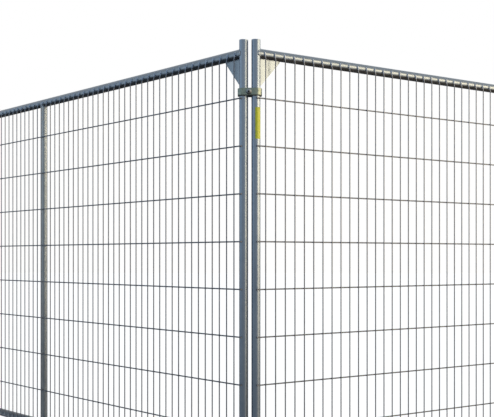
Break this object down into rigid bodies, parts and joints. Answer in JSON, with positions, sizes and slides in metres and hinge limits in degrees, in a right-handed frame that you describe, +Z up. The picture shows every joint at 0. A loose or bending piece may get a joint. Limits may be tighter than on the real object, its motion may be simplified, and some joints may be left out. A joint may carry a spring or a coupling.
{
  "type": "wire mesh fence panel corner",
  "caption": "Mobile site fence corner: welded wire mesh panels in tubular frames with gusset plates, joined at their end posts by a bolted strap clamp that lets them swing.",
  "frame": {"origin": "on the ground, midway between the axes of the two corner posts", "axes": "+Z up, +X from the left corner post to the right one, +Y halving the corner towards the fenced side, so the mesh and the camera are on the -Y side"},
  "size_m": [5.3622, 2.3775, 2],
  "materials": {
    "galvanised_tube": "weathered hot dip galvanised",
    "galvanised_plate": "weathered hot dip galvanised",
    "galvanised_wire": "galvanised wire",
    "clamp": "olive yellow passivated zinc",
    "fastener": "zinc plated",
    "label": "plain yellow film"
  },
  "bodies": {
    "clamp": {"clamp_front_strap": "clamp", "clamp_bolt": "fastener"},
    "left_panel": {"left_corner_post": "galvanised_tube", "left_end_post": "galvanised_tube", "left_top_rail": "galvanised_tube", "left_bottom_rail": "galvanised_tube", "left_middle_upright": "galvanised_tube", "left_corner_gusset": "galvanised_plate", "left_end_gusset": "galvanised_plate", "left_vertical_wires": "galvanised_wire", "left_line_wires": "galvanised_wire"},
    "right_panel": {"right_corner_post": "galvanised_tube", "right_end_post": "galvanised_tube", "right_top_rail": "galvanised_tube", "right_bottom_rail": "galvanised_tube", "right_middle_upright": "galvanised_tube", "right_corner_gusset": "galvanised_plate", "right_end_gusset": "galvanised_plate", "right_vertical_wires": "galvanised_wire", "right_line_wires": "galvanised_wire", "post_label": "label"},
    "rear_clamp": {"clamp_rear_strap": "clamp", "clamp_washer": "fastener"},
    "nut": {"clamp_nut": "fastener"}
  },
  "joints": [
    {"name": "left_post_swing", "type": "hinge", "parent": "clamp", "child": "left_panel", "pos_m": [-0.026, 0, 1.779], "axis": [0, 0, -1], "range_deg": [-45, 45]},
    {"name": "right_post_swing", "type": "hinge", "parent": "clamp", "child": "right_panel", "pos_m": [0.026, 0, 1.779], "axis": [0, 0, 1], "range_deg": [-45, 45]},
    {"name": "rear_strap_slide", "type": "slide", "parent": "clamp", "child": "rear_clamp", "axis": [0, 1, 0], "range_m": [0, 0.007]},
    {"name": "nut_turn", "type": "hinge", "parent": "rear_clamp", "child": "nut", "pos_m": [0, 0.0328, 1.779], "axis": [0, 1, 0], "range_deg": [0, 1440]}
  ],
  "couplings": [
    {"joint": "nut_turn", "follows": "rear_strap_slide", "rad_per_m": 3590.4}
  ]
}
